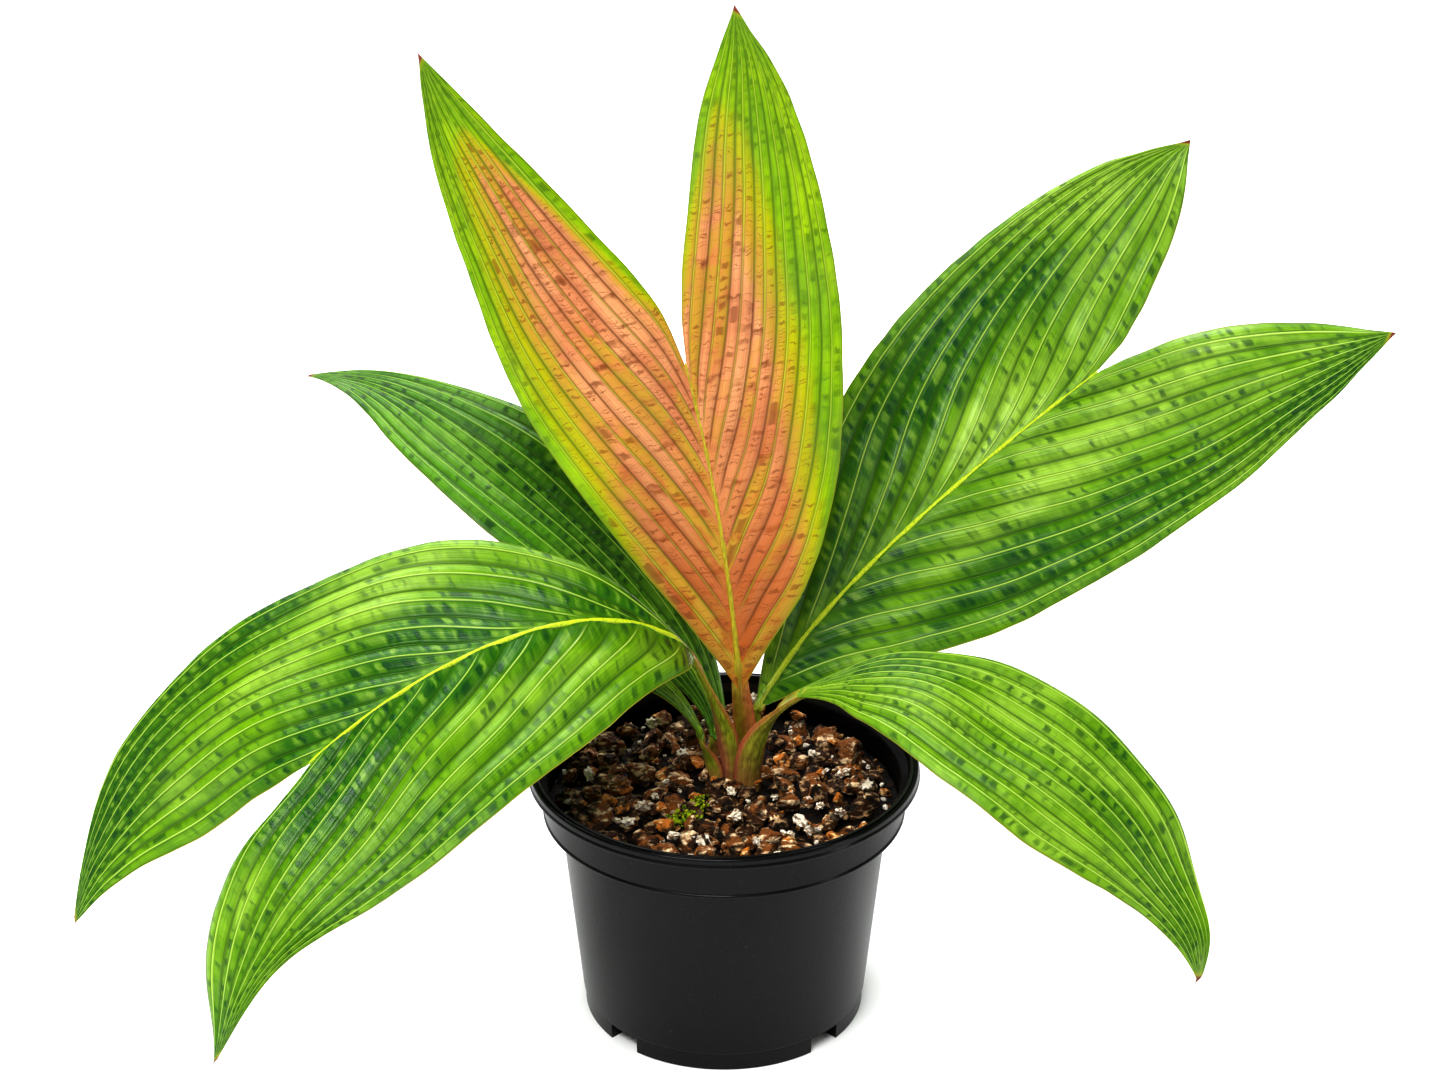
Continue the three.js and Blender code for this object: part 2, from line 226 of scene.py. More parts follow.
lanePatterns = {
    "spot": ((3, 1700, 1), (0.48, 0.7), 0.5, 2),
    "cell": ((3, 1700, 1), (0.5, 0.25), 0.5, 2),
    "laneTone": ((70, 137, 1), (0.36, 0.64), 0, 4),
    "vein": ((2.6, 900, 1), (0, 1), 0, 6),
}
leafKinds = table("bright green deep spot crest shade edge tip", {
    # the living and shaded kinds' bright tones are raised in blue: painted sheen that whitens the pale
    # patches
    "livingPalmLeaf": "#94b440 #689206 #1e5603 #083a10 #b0ca58 #0e3a02 #9a9a2c #6c3018".split(),
    # the shaded kind is the living kind darkened: painted shade for the back left leaf
    "shadedPalmLeaf": "#749e36 #4a8006 #144403 #062c0c #98bc48 #0c2c02 #77862e #6c3018".split(),
    "youngPalmLeaf": "#a8be0a #7ca006 #386804 #486606 #98aa2a #3a5806 #8e9a1c #743420".split(),
})
youngTones = dict(
    yellow="#a09a08", tan="#a8862c", warm="#b87a44", warmPale="#c89a6e", warmDeep="#a65838",
    crest="#747a08", shade="#58220a", vein="#6a340e", base="#9c4e06",
)


def leafMaterial(name, young=False):
    # green with stretches, placed tones and spots, and the pleats' lines over them; the young leaf turns
    # yellow, tan and salmon as far as its salmon reaches
    material, tree, surface = newMaterial(name)
    tones, add = leafKinds[name], partial(addNode, tree)
    ribMap = add("UVMap", uv_map="ribs")
    part = add("SeparateXYZ", [ribMap])
    tint = add("Attribute", attribute_name="tint")
    crest, shade, edge = add("SeparateColor", [tint.outputs["Color"]]).outputs
    masks = addPatterns(tree, leafPatterns, ribMap)
    lanes = add("Math", [part.outputs[1], 2000 / nominalPleat], operation="MULTIPLY")
    number = add("Math", [lanes], operation="FLOOR")
    along = add("Math", [part.outputs[0], masks.wander], operation="ADD")
    lane = add("CombineXYZ", [along, number])
    laneMasks = addPatterns(tree, lanePatterns, lane)
    inLane = add("Math", [lanes, 0.5], operation="PINGPONG")
    body = add("MapRange", [inLane, 0.04, 0.4], interpolation_type="SMOOTHSTEP")
    # painted shade: darker towards each lane's sides, in the valleys and beside the crests
    side = add("MapRange", [inLane, 0.14, 0, 0, 0.35])
    neutral, lightest = (0.5, 0) if young else (1, -1)
    # placed tones: the leaf's own patches with painted shade and painted sheen
    placedToneShadeAndSheen = add("MapRange", [tint.outputs["Alpha"], 0, neutral, 1, lightest])
    dark = add("Math", [masks.darkStretch, placedToneShadeAndSheen], operation="ADD", use_clamp=True)
    # pale stretches and lighter placed tones take the bright tone: the leaf's pale green with painted sheen
    paleAndSheen = add("Math", [masks.paleStretch, placedToneShadeAndSheen], operation="SUBTRACT", use_clamp=True)
    tone = layTones(tree, tones.green, [
        (paleAndSheen, 0.8, tones.bright), (masks.streak, 0.3, tones.deep), (dark, 0.85, tones.deep),
        (side, tones.deep), (masks.blotch, 0.35, tones.deep),
        (laneMasks.cell, body, dark, 0.4, tones.bright),
        (laneMasks.spot, body, masks.amount, 0.74, tones.spot),
        (laneMasks.spot, body, dark, 0.72, tones.spot),
    ])
    crestTone, shadeTone = tones.crest, tones.shade
    if young:
        warmTones = SimpleNamespace(**youngTones)
        salmon = add("MapRange", [tint.outputs["Alpha"], 0.5, 1])
        laneShare = add("Math", [laneMasks.laneTone, 0.4, 0.8], operation="MULTIPLY_ADD")
        share = add("Math", [masks.blotch, 0.25, laneShare], operation="MULTIPLY_ADD")
        reach = add("Math", [share, salmon], operation="MULTIPLY")
        yellowish, tanned, reddish = (
            add("MapRange", [reach, low, high], interpolation_type="SMOOTHSTEP")
            for low, high in ((0.02, 0.32), (0.3, 0.75), (0.7, 1.2)))
        vein = add("Math", [laneMasks.vein, 0.5, 0.04], operation="COMPARE")
        nearBase = add("MapRange", [part.outputs[0], 0.13, 0, 0, 0.95])
        warmTone = layTones(tree, warmTones.warm, [
            (laneMasks.laneTone, 0.75, warmTones.warmPale), (masks.paleStretch, 0.7, warmTones.warmDeep),
            (masks.streak, 0.4, warmTones.warmDeep), (laneMasks.spot, masks.blotch, 0.8, warmTones.vein),
            (nearBase, warmTones.base),
        ])
        tone = layTones(tree, "#000000", [
            (1, tone), (yellowish, 0.85, warmTones.yellow), (tanned, warmTones.tan),
            (reddish, warmTone), (vein, yellowish, body, 0.6, warmTones.vein),
        ])
        crestTone = layTones(tree, tones.crest, [(reddish, warmTones.crest)])
        shadeTone = layTones(tree, tones.shade, [(reddish, warmTones.shade)])
    margin = add("MapRange", [edge, 0.1, 0.6, 0, 0.8])
    tip = add("MapRange", [edge, 0.5, 0.85])
    # painted shade lines in the valleys and beside the crests, then the crest's pale rib line, margin and
    # tip
    lines = [(shade, 0.82, shadeTone), (crest, 0.75, crestTone), (margin, tones.edge), (tip, tones.tip)]
    tone = layTones(tree, "#000000", [(1, tone), *lines])
    finishSurface(tree, surface, tone, leafFinish, [(masks.streak, 0.35, 0.4), (laneMasks.spot, 0.3, 0.25)])
    return material


# Sheaths, stalks and ribs: living tissue with long fibres and a satin skin. The tint's channels are
# how near the sheath's edge, how near the soil, how far into the rib, and in alpha the red blush.
stalkLook = dict(
    base="#a0aa2a", deep="#58620e", blush="#c0645a", edge="#ac4838", foot="#8c5638", rib="#bccc1c",
    ribShade="#7a9808",
)
stalkFinish = {"Roughness": 0.38, "IOR": 1.45}
stalkPatterns = {
    "fibres": ((0.6, 0.6, 22), (0.35, 0.7), 3, 0),
    "clouds": ((6, 6, 10), (0.42, 0.68), 3, 0),
    "specks": ((0.8, 0.8, 1.2), (0.6, 0.72), 2, 0),
}


def stalkMaterial(name, changes=None):
    # green, darker by fibres and clouds, then the tint's edge, foot, blush and rib over it
    material, tree, surface = newMaterial(name)
    look = SimpleNamespace(**{**stalkLook, **(changes or {})})
    masks = addPatterns(tree, stalkPatterns)
    tint = addNode(tree, "Attribute", attribute_name="tint")
    edge, foot, rib = addNode(tree, "SeparateColor", [tint.outputs["Color"]]).outputs
    ribTone = layTones(tree, look.rib, [(masks.fibres, 0.7, look.ribShade)])
    tone = layTones(tree, look.base, [
        (masks.fibres, 0.7, look.deep), (masks.clouds, 0.6, look.deep), (masks.specks, 0.3, look.base),
        (edge, look.edge), (foot, look.foot), (tint.outputs["Alpha"], look.blush), (rib, ribTone),
    ])
    finishSurface(tree, surface, tone, stalkFinish, [(masks.fibres, 0.4, 0.5)])
    return material


grainFinish = {"Roughness": 0.8, "Specular IOR Level": 0.25}


def grainMaterial(name, tones, grain):
    # loose matter: three tones from dark to light by noise of its grain, and a broken rough surface. The
    # darkest tone, where the surface sinks, is painted shade in the crevices over the grain's own dark, and
    # the lightest, on raised layers, is the grain's pale fibre with painted highlight
    material, tree, surface = newMaterial(name)
    masks = addPatterns(tree, {
        # painted shade: darker and sunk in the crevices
        "dark": ((grain,) * 3, (0.52, 0.38), 4, 0),
        "layer": ((grain * 1.4, grain * 0.6, grain * 0.35), (0.5, 0.63), 4, 2),
        "grit": ((grain * 0.16,) * 3, (0.35, 0.7), 3, 4),
    })
    tone = layTones(tree, tones[1], [
        (masks.layer, tones[2]), (masks.grit, 0.35, tones[0]), (masks.dark, 0.9, tones[0]),
    ])
    finishSurface(tree, surface, tone, grainFinish, [
        (masks.dark, 0.9, -grain * 0.12), (masks.layer, 0.8, grain * 0.1), (masks.grit, 0.9, grain * 0.06),
    ])
    return material


potFinish = {"Roughness": 0.36, "Specular IOR Level": 0.11, "Coat Weight": 0.18, "Coat Roughness": 0.12}


def potMaterial():
    # injection-moulded polypropylene, filled black: an even satin skin with faint flow marks and dust,
    # and a thin clear coat for the glint on the rim
    material, tree, surface = newMaterial("mouldedPolypropylene")
    masks = addPatterns(tree, {
        "haze": ((22, 22, 70), (0.35, 0.7), 5, 0),
        "dust": ((0.9, 0.9, 0.9), (0.7, 0.78), 1, 3),
        "skin": ((1.1, 1.1, 1.1), (0.2, 0.8), 3, 0),
    })
    tone = layTones(tree, "#020203", [(masks.haze, "#060608"), (masks.dust, 0.35, "#404040")])
    finishSurface(tree, surface, tone, potFinish, [(masks.skin, 0.12, 0.3)])
    return material


# Camera and studio

shot = dict(imageWidth=1448, focalPx=2830, sensor=36, distance=1.153, elevation=24.4, aimHeight=0.2154)
camera = addObject("camera", bpy.data.cameras.new("camera"))
scene.camera = camera
camera.data.sensor_width = shot["sensor"]
camera.data.lens = shot["focalPx"] / shot["imageWidth"] * shot["sensor"]
tilt = math.radians(shot["elevation"])
backing, rising = math.cos(tilt) * shot["distance"], math.sin(tilt) * shot["distance"]
camera.location = (0, -backing, shot["aimHeight"] + rising)
camera.rotation_euler = (math.pi / 2 - tilt, 0, 0)

# the gamma deepens the shade; the dome is an overcast sky, a sun lamp with a broad disc, and isn't
# reflected, so that only the softboxes give the leaves their sheen
studio = dict(
    gamma=0.8, worldStrength=0.3, domeEnergy=3, domeAngle=50, domeTurn=(12, -10, 0),
    softboxAim=(0, 0, 0.2), floorReach=6.0, floorTone="#f4f4f4", floorRoughness=0.9,
)
scene.view_settings.view_transform = "Standard"
scene.view_settings.gamma = studio["gamma"]
world = bpy.data.worlds.new("studio")
scene.world = world
world.use_nodes = True
sky = world.node_tree.nodes["Background"].inputs
sky["Color"].default_value = (1, 1, 1, 1)
sky["Strength"].default_value = studio["worldStrength"]

dome = addObject("dome", bpy.data.lights.new("dome", "SUN"))
dome.data.energy = studio["domeEnergy"]
dome.data.angle = math.radians(studio["domeAngle"])
dome.rotation_euler = [math.radians(turn) for turn in studio["domeTurn"]]
dome.visible_glossy = False

# each softbox: watts, width and height in metres, and where it stands; all face the plant
softboxes = {
    "frontBank": (25, 1, 0.36, (-0.35, -1.1, 1.4)),
    "overheadBank": (30, 1.6, 0.8, (-0.15, 0.95, 1.15)),
    "leftPanel": (6, 0.4, 1, (-1.5, -0.6, 0.55)),
    "rightPanel": (6, 0.4, 1, (1.5, -0.6, 0.55)),
}
for name, (power, width, height, place) in softboxes.items():
    lamp = addObject(name, bpy.data.lights.new(name, "AREA"))
    lamp.data.energy = power
    lamp.data.shape = "RECTANGLE"
    lamp.data.size, lamp.data.size_y = width, height
    lamp.location = place
    backward = mathutils.Vector(place) - mathutils.Vector(studio["softboxAim"])
    lamp.rotation_euler = backward.to_track_quat("Z", "Y").to_euler()

corners = np.array([(-1, -1, 0), (1, -1, 0), (1, 1, 0), (-1, 1, 0)]) * studio["floorReach"]
floorMesh = bpy.data.meshes.new("floor")
floorMesh.from_pydata(corners.tolist(), [], [(0, 1, 2, 3)])
floorMaterial, _, floorSurface = newMaterial("palePaper")
floorSurface.inputs["Base Color"].default_value = hexColor(studio["floorTone"])
floorSurface.inputs["Roughness"].default_value = studio["floorRoughness"]
floorMesh.materials.append(floorMaterial)
addObject("floor", floorMesh)
print("camera, light and floor are set")

# Pot: a turned profile, whose corners are radius, height and rounding
potShape = dict(
    height=115, rimRadius=82.5, rimInnerRadius=78.5, lipHeight=4.6, bandRadius=76.3, bandDrop=21.5,
    wallTopRadius=69.7, wallFootRadius=61.1, wall=1.8, skirtHeight=8, skirtInset=0.8,
    skirtInnerRadius=53, floorUnderside=4, floorTop=6.5, grooveRadius=80.7, grooveWidth=0.9,
    grooveDepth=0.9, turns=240, notchCount=4, notchHeight=7, notchWidth=15.5, notchLength=24,
    padRadius=18, bead=0.6, sharpAngle=35,
)


def roundedProfile(corners, steps=5):
    # a rounding is start (1 - t)^2 + corner 2 t (1 - t) + end t^2, with start and end set back from it
    places = np.array([(r, z) for r, z, _ in corners], float)
    setBack = np.array([c[2] for c in corners], float)[:, None]
    before, after = np.roll(places, 1, 0) - places, np.roll(places, -1, 0) - places
    t = np.linspace(0, 1, steps)[None, :, None]
    start = (places + unit(before) * setBack)[:, None]
    end = (places + unit(after) * setBack)[:, None]
    curve = start * (1 - t) ** 2 + places[:, None] * 2 * t * (1 - t) + end * t ** 2
    flat = [points if setBack[i] > 0 else points[:1] for i, points in enumerate(curve)]
    return np.concatenate(flat)


def carriedRound(profile, turns):
    # a profile of radii and heights, at even angles round the axis
    angle = np.linspace(0, 2 * np.pi, turns, endpoint=False)
    r, z = profile[:, :1], profile[:, 1:]
    return np.stack([r * np.cos(angle), r * np.sin(angle), z + 0 * angle], -1)


def turned(profile, turns):
    # the profile's ends lie on the axis, and its other points are carried round it
    points = carriedRound(profile[1:-1], turns).reshape(-1, 3)
    points = np.concatenate([points, [(0, 0, profile[0, 1]), (0, 0, profile[-1, 1])]])
    return points, tubeFaces(len(profile) - 2, turns)


def buildPot():
    # the profile goes out under the floor, up the outside, over the rim and down the inside; boxes then
    # cut the drain notches through the foot
    s = SimpleNamespace(**potShape)
    bandBottom, lipBottom, top = s.height - s.bandDrop, s.height - s.lipHeight, s.height
    foot, band, rim, bead = s.wallFootRadius, s.bandRadius, s.rimRadius, s.bead
    inner = band - s.wall
    groove, half = s.grooveRadius, s.grooveWidth / 2
    corners = [
        (0, s.floorTop, 0), (0, 0, 0), (s.padRadius, 0, 0.5),
        (s.padRadius + 2, s.floorUnderside, 0.8), (s.skirtInnerRadius, s.floorUnderside, 0.8),
        (s.skirtInnerRadius, 0, 0.5), (foot - s.skirtInset, 0, 0.5),
        (foot - s.skirtInset + 0.2, s.skirtHeight, 0.2), (foot + 0.1, s.skirtHeight + 0.5, 0.25),
        (s.wallTopRadius, bandBottom, 0.5), (band - 1.2, bandBottom, 0.4),
        (band + bead, bandBottom + 0.2, 0.4), (band + bead, bandBottom + 1, 0.35),
        (band, bandBottom + 1.7, 0.4), (band + 0.5, lipBottom - 0.8, 0.3), (rim - 1.2, lipBottom, 0.4),
        (rim + bead / 2, lipBottom + 0.2, 0.35), (rim + bead / 2, lipBottom + 1.1, 0.3),
        (rim - 0.2, lipBottom + 1.9, 0.3), (rim - 0.3, top - 0.3, 1),
        (groove + half, top - 0.05, 0.25), (groove + half - 0.2, top - s.grooveDepth, 0.15),
        (groove - half + 0.2, top - s.grooveDepth, 0.15), (groove - half, top, 0.25),
        (s.rimInnerRadius, top - 0.1, 0.8), (s.rimInnerRadius - 0.4, lipBottom + 1, 0.6),
        (inner, lipBottom - 2, 0.8), (inner, bandBottom + s.wall, 0.5),
        (s.wallTopRadius - s.wall, bandBottom + s.wall, 0.5), (foot - s.wall, s.floorTop, 1),
    ]
    profile = roundedProfile(corners)
    profile = np.concatenate([profile[1:], profile[:1]])
    points, faceSets = turned(profile, s.turns)
    pot = addPiece("potMoulded", points, faceSets, potMaterial(), ("pot",))
    cutter = bpy.data.meshes.new("notches")
    shape = bmesh.new()
    for i in range(s.notchCount):
        box = bmesh.ops.create_cube(shape, size=mm)["verts"]
        bmesh.ops.scale(shape, vec=(s.notchLength, s.notchWidth, s.notchHeight * 2), verts=box)
        bmesh.ops.translate(shape, vec=(foot * mm, 0, 0), verts=box)
        turn = (2 * i + 1) * math.pi / s.notchCount
        bmesh.ops.rotate(shape, cent=(0, 0, 0), verts=box, matrix=mathutils.Matrix.Rotation(turn, 3, "Z"))
    shape.to_mesh(cutter)
    shape.free()
    notches = addObject("notches", cutter)
    cut = pot.modifiers.new("notches", "BOOLEAN")
    cut.object = notches
    cut.operation = "DIFFERENCE"
    bpy.context.view_layer.objects.active = pot
    bpy.ops.object.modifier_apply(modifier=cut.name)
    bpy.data.objects.remove(notches)
    pot.data.set_sharp_from_angle(angle=math.radians(s.sharpAngle))


buildPot()
print("the pot is turned")

# Potting mix: a lumpy bed with bark, crumbs, perlite and moss on it. The bed is near black, fine bark
# with painted shade in the gaps between the lumps. Each wave of lumps has its height, size and seed.
mixLook = dict(
    level=97.2, radius=73.8, ledge=95.7, neckRadius=67.6, footRadius=58.6, bottom=7, stemX=5, stemY=15.5,
    stemRise=2.5, riseArea=700, lumps=((0.7, 32, 4), (0.4, 9, 5)), rings=60, turns=150,
    tones=("#030100", "#0f0703", "#2c190c"), grain=5,
)
bed = SimpleNamespace(**mixLook)


def bedHeight(x, y):
    # height of the bed: waves of two sizes, and a slight rise towards the stem
    rise = bed.stemRise * np.exp(-((x - bed.stemX) ** 2 + (y - bed.stemY) ** 2) / bed.riseArea)
    flat = np.stack([x, y], -1)
    return bed.level + rise + sum(height * waveNoise(flat, size, seed) for height, size, seed in bed.lumps)


def buildBed():
    # rings of points up the wall's inside, over the ledge, and in to the middle at the bed's height
    wall = np.array([(bed.footRadius, bed.bottom), (bed.neckRadius, bed.ledge), (bed.radius, bed.ledge)])
    radius = bed.radius * np.linspace(1, 1 / bed.rings, bed.rings)
    top = carriedRound(np.stack([radius, 0 * radius], -1), bed.turns)
    top[..., 2] = bedHeight(top[..., 0], top[..., 1])
    middle = float(bedHeight(np.zeros(1), np.zeros(1))[0])
    points = np.concatenate([carriedRound(wall, bed.turns), top]).reshape(-1, 3)
    points = np.concatenate([points, [(0, 0, bed.bottom), (0, 0, middle)]])
    faceSets = tubeFaces(bed.rings + len(wall), bed.turns)
    # near-black tones: painted shade where the bed shows between the lumps
    material = grainMaterial("fineBarkWithGapShade", bed.tones, bed.grain)
    addPiece("mixBed", points, faceSets, material, ("soil", "stem"))


def sphereArrays(level):
    # a sphere of triangles: 80 at level 2, 320 at level 3 and 1,280 at level 4
    shape = bmesh.new()
    bmesh.ops.create_icosphere(shape, subdivisions=level, radius=1)
    points = np.array([v.co[:] for v in shape.verts])
    faces = np.array([[v.index for v in f.verts] for f in shape.faces])
    shape.free()
    return points, faces


def scatterDisc(seed, look):
    # dart throwing: random points on the disc, each kept if it clears the stem and those before it
    rng = np.random.default_rng(seed)
    reach = bed.radius - look.size[1] / 2
    kept = np.empty((0, 2))
    for _ in range(look.count * 14):
        place = rng.uniform(-reach, reach, 2)
        fromStem = math.hypot(place[0] - bed.stemX, place[1] - bed.stemY)
        clear = not len(kept) or np.min(np.hypot(*(kept - place).T)) > look.gap
        if math.hypot(*place) < reach and fromStem > look.keepOut and clear:
            kept = np.vstack([kept, place])
        if len(kept) == look.count:
            break
    return kept


# how deep the cuts go as shares of the radius, the sizes of coarse and fine relief on a sphere of the
# noise's reach, how the fine relief is squeezed into layers, and how far a lump leans
chunkLook = dict(
    cutDepth=(0.5, 0.85), reach=1.7, coarse=1.3, fine=0.8, fineShare=0.7, layered=(1, 2.4, 2.4),
    tilt=0.35, sharpAngle=40,
)


def chunkArrays(places, sizes, seed, look):
    # broken lumps: a sphere shaved by flat cuts, roughened, stretched and turned, for each place
    rng = np.random.default_rng(seed)
    sphere, faces = sphereArrays(look.level)
    count = len(places)
    least, most = (0.8, 0.5, look.flatness * 0.7), (1.1, 0.85, look.flatness)
    stretch = rng.uniform(least, most, (count, 3))
    normals = unit(rng.normal(size=(count, look.cuts, 3)))
    depth = rng.uniform(*chunkLook["cutDepth"], (count, look.cuts))
    reach = np.einsum("vk,nck->nvc", sphere, normals)
    shave = np.min(np.where(reach > 0.05, depth[:, None] / np.maximum(reach, 0.05), 9), -1)
    body = sphere[None] * np.minimum(1, shave)[..., None]
    spot = body * chunkLook["reach"] + rng.uniform(0, 50, (count, 1, 3))
    layers = waveNoise(spot * chunkLook["layered"], chunkLook["fine"], seed + 1)
    relief = waveNoise(spot, chunkLook["coarse"], seed) + chunkLook["fineShare"] * layers
    body = body * (1 + look.rough * relief[..., None])
    body = body * stretch[:, None] * (np.asarray(sizes)[:, None, None] / 2)
    tilt = rng.normal(0, chunkLook["tilt"], (count, 2))
    heading = rng.uniform(0, 2 * np.pi, count)
    cosine, sine = np.cos(heading), np.sin(heading)
    forward = unit(np.stack([cosine, sine, tilt[:, 0]], -1))
    upward = unit(np.stack([-sine * tilt[:, 1], cosine * tilt[:, 1], np.ones(count)], -1))
    upward = unit(upward - forward * (upward * forward).sum(-1, keepdims=True))
    turn = np.stack([forward, np.cross(upward, forward), upward], 1)
    body = np.einsum("nvk,nkj->nvj", body, turn)
    ground = bedHeight(*places.T)
    lowest, highest = body[..., 2].min(1), body[..., 2].max(1)
    lift = ground - lowest - look.sink * (highest - lowest)
    body = body + np.stack([*places.T, lift], -1)[:, None]
    allFaces = (faces[None] + (np.arange(count) * len(sphere))[:, None, None]).reshape(-1, 3)
    return body.reshape(-1, 3), [allFaces]


# keepOut is how near the stem a lump may lie, sink its share sunk in the bed, which lifts it onto the
# others below 0, level how fine its sphere is, and cuts how many flat cuts shave it; grain is in mm
mixKinds = table("count size gap keepOut sink flatness level cuts rough tones grain", {
    "barkLarge": (50, (14, 20), 14, 20, 0.12, 0.8, 4, 9, 0.075, ("#050201", "#7e4c22", "#f2d2a8"), 7),
    "barkDark": (84, (10, 16), 9.5, 15, 0.1, 0.75, 3, 9, 0.09, ("#020100", "#3a200c", "#b8946a"), 5),
    "barkBrown": (76, (9, 14), 11.5, 14, -0.15, 0.75, 3, 8, 0.1, ("#080301", "#7e4a1c", "#f6d6aa"), 4.5),
    "barkOrange": (44, (6, 10), 15, 14, -0.7, 0.65, 3, 8, 0.11, ("#1c0c04", "#b86e24", "#f4c88c"), 3.5),
    "crumbs": (130, (1.8, 4.4), 3.6, 9, -1, 0.8, 2, 5, 0.08, ("#120803", "#7a4c1e", "#d6ac74"), 2),
    "perlite": (34, (3.4, 6.2), 12, 20, -1.3, 0.8, 3, 5, 0.26, ("#7a5634", "#f2e6d0", "#fff8ea"), 2.2),
    "perliteBits": (64, (1.4, 3.4), 4, 18, -2.2, 0.8, 2, 4, 0.2, ("#8a6a48", "#f0e8d8", "#fffaf0"), 1.5),
    "moss": (0, (1, 2.4), 1, 20, -2.8, 0.9, 2, 2, 0.25, ("#2e4a04", "#84a00c", "#e0da22"), 1.5),
})
# lumps that show near the front rim: x, y and size
fixedMix = {
    "perlite": [
        (-33, -25, 7), (-40, -36, 5.5), (-44, -33, 4), (-20, -50, 6), (-10, -49, 6), (-7, -46, 4.5),
        (5, -33, 7), (3, -12, 5.5), (31, -39, 7), (35, -43, 5), (27, -42, 4.5), (48, -32, 6), (51, 5, 5),
        (60, -6, 6.5), (39, 20, 6), (13, -52, 5), (-29, -12, 4.5), (40, -18, 4.5)],
    "barkLarge": [
        (-36, 13, 17), (-52, -23, 15), (-32, -43, 16), (4, -46, 14), (17, -44, 15), (27, -14, 15),
        (39, -1, 15), (-66, -8, 13), (-20, -14, 13), (26, 10, 12), (61, 6, 12), (-52, 4, 14),
        (46, -24, 13), (-6, -30, 13)],
    "barkOrange": [
        (-42, -4, 10), (-49, -15, 11), (-27, -22, 9), (-60, -14, 9), (-24, -37, 10), (-43, -27, 9),
        (-56, 12, 9), (-26, 6, 9), (33, -33, 9), (22, -30, 8)],
}
# the moss is tufts round three middles
mossSpots = dict(middles=((-9, -17), (-14, -26), (-19, -30)), spread=3.2, tufts=40, size=(1, 2.4))
mossDraws = np.random.default_rng(7)
fixedMix["moss"] = [(*mossDraws.normal(middle, mossSpots["spread"]), mossDraws.uniform(*mossSpots["size"]))
                    for middle in mossSpots["middles"] for _ in range(mossSpots["tufts"])]


def buildMix():
    # each kind is one joined piece: scattered lumps, with the fixed ones in place of those near them
    for i, (kind, look) in enumerate(mixKinds.items()):
        places = scatterDisc(100 + i, look)
        sizes = np.random.default_rng(200 + i).uniform(*look.size, len(places))
        if kind in fixedMix:
            fixed = np.array(fixedMix[kind], float)
            away = np.hypot(*(places[:, None] - fixed[None, :, :2]).transpose(2, 0, 1)).min(1) > look.gap
            places = np.concatenate([fixed[:, :2], places[away]])
            sizes = np.concatenate([fixed[:, 2], sizes[away]])
        material = grainMaterial(kind, look.tones, look.grain)
        points, faceSets = chunkArrays(places, sizes, 300 + i, look)
        addPiece(kind, points, faceSets, material, sharp=chunkLook["sharpAngle"])


buildBed()
buildMix()
print("the potting mix is laid")

# Leaves: a flat pattern over a curved midline, by the rule and sizes of the solids. Bend is the middle
# control of the stalk's curve, upper the normal's sign on the upper side, fold how many degrees each
# half folds up, notch how far along the leaf forks, or 0, and across the heading and dip in degrees of
# the way across the midline.
leaves = table("foot bend pleats upper fold notch midline across", {
    "young_upright": (
        (11.2, 19.5), (8.9, 19.5, 119), 7, -1, -10, 142,
        [(7, 20, 138), (-3, 42, 246), (-15, 64, 259), (-58, 84, 431)], (0, 0)),
    "back_right": (
        (13.2, 28.2), (12.6, 28.4, 113), 8, -1, -6, 220,
        [(14, 28, 124), (30, 65, 137), (65, 105, 178), (264, 134, 317)], (-35, 36)),
    "front_left": (
        (3.2, 14.2), (3.7, 15, 125), 8, 1, 0, 190,
        [(-12, 9, 159), (-56, -25, 232), (-196, -75, 164), (-241, -110, 47)], (-65, 25)),
    "back_left": (
        (-2.2, 22.6), (-4.6, 20, 108), 8, -1, -8, 0,
        [(-4, 22, 113), (4, 50, 127), (-95, 85, 250), (-183, 110, 245)], (52, 0)),
    "front_right": (
        (9.6, 4), (10, 0, 136), 9, -1, 4, 0,
        [(31, -8, 151), (95, -35, 188), (177, -65, 121), (191, -85, 59)], (-110, 12)),
    "low_left": (
        (-2.6, 7.2), (-6, 7.6, 116), 6, 1, 0, 0,
        [(-9, 9, 121), (-43, 14, 196), (-104, 14, 141), (-155, 8, 116)], (-95, 0)),
})
